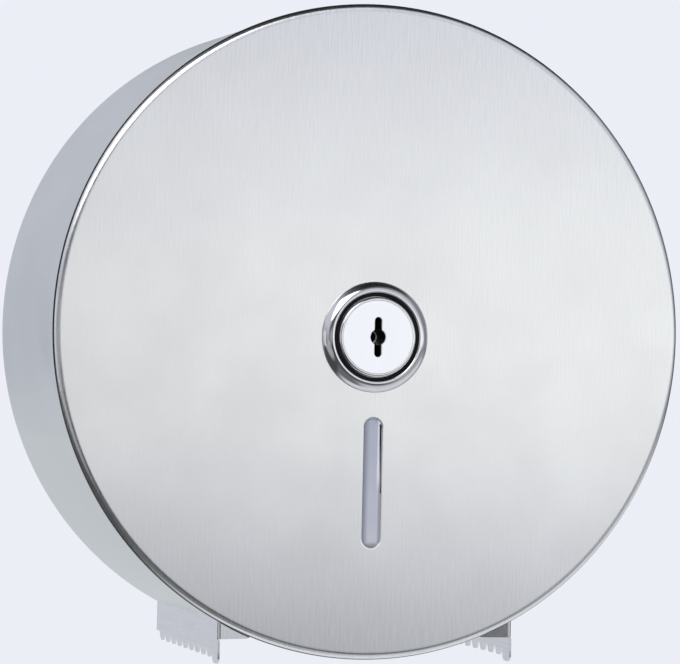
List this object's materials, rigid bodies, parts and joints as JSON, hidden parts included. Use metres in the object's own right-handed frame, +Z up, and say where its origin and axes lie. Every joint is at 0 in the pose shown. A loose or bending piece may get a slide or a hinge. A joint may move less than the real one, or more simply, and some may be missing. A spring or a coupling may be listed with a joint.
{
  "type": "jumbo toilet roll dispenser",
  "caption": "Round wall-hung steel dispenser for a large toilet roll, with a lift-off lockable drum cover, a view slot, a free-turning roll hub and toothed tear bars.",
  "frame": {"origin": "centre of the four wall holes, on the back face of the back plate, on the drum's axis", "axes": "+Y into the wall along the drum's axis, so the front faces -Y; +Z up; +X to the right seen from the front"},
  "size_m": [0.31, 0.125, 0.3116],
  "materials": {
    "band_steel": "fine satin",
    "bar_steel": "satin",
    "cap_plastic": "white",
    "collar_chrome": "polished",
    "core_plastic": "black",
    "disc_steel": "vertical brushed satin",
    "fastener_steel": "bright zinc",
    "housing_nickel": "satin nickel",
    "hub_plastic": "moulded grey",
    "nylon_white": "natural nylon",
    "plate_steel": "cold rolled",
    "ring_spring_steel": "black oxide",
    "seal_rubber": "matte black",
    "spindle_steel": "turned",
    "tab_steel": "mill finish",
    "window_acrylic": "translucent grey"
  },
  "bodies": {
    "base": {"back_plate": "plate_steel", "spindle_flange": "spindle_steel", "spindle_rivets": "fastener_steel", "spindle_tube": "spindle_steel", "spindle_catch": "spindle_steel", "hub_thrust_washer": "nylon_white", "hub_retaining_ring": "ring_spring_steel"},
    "hub": {"roll_hub": "hub_plastic", "hub_rear_bush": "nylon_white", "hub_front_bush": "nylon_white"},
    "cover": {"front_disc": "disc_steel", "side_band": "band_steel", "cover_stop_tabs": "tab_steel", "left_tear_bar": "bar_steel", "right_tear_bar": "bar_steel", "view_window": "window_acrylic", "window_frame": "tab_steel", "window_studs": "fastener_steel", "window_nuts": "fastener_steel", "lock_collar": "collar_chrome", "lock_seal_ring": "seal_rubber", "lock_housing": "housing_nickel", "lock_washer": "fastener_steel", "lock_nut": "fastener_steel"},
    "lock": {"lock_face_cap": "cap_plastic", "lock_core": "core_plastic", "keyhole_ward_ring": "fastener_steel", "core_retaining_ring": "ring_spring_steel", "locking_bar": "spindle_steel", "locking_bar_screw": "fastener_steel"}
  },
  "joints": [
    {"name": "hub_spin", "type": "hinge", "parent": "base", "child": "hub", "pos_m": [0, 0, -0.0025], "axis": [0, 1, 0], "continuous": true},
    {"name": "cover_pull", "type": "slide", "parent": "base", "child": "cover", "axis": [0, -1, 0], "range_m": [0, 0.24]},
    {"name": "lock_turn", "type": "hinge", "parent": "cover", "child": "lock", "pos_m": [0, 0, -0.0025], "axis": [0, 1, 0], "range_deg": [0, 90]}
  ]
}
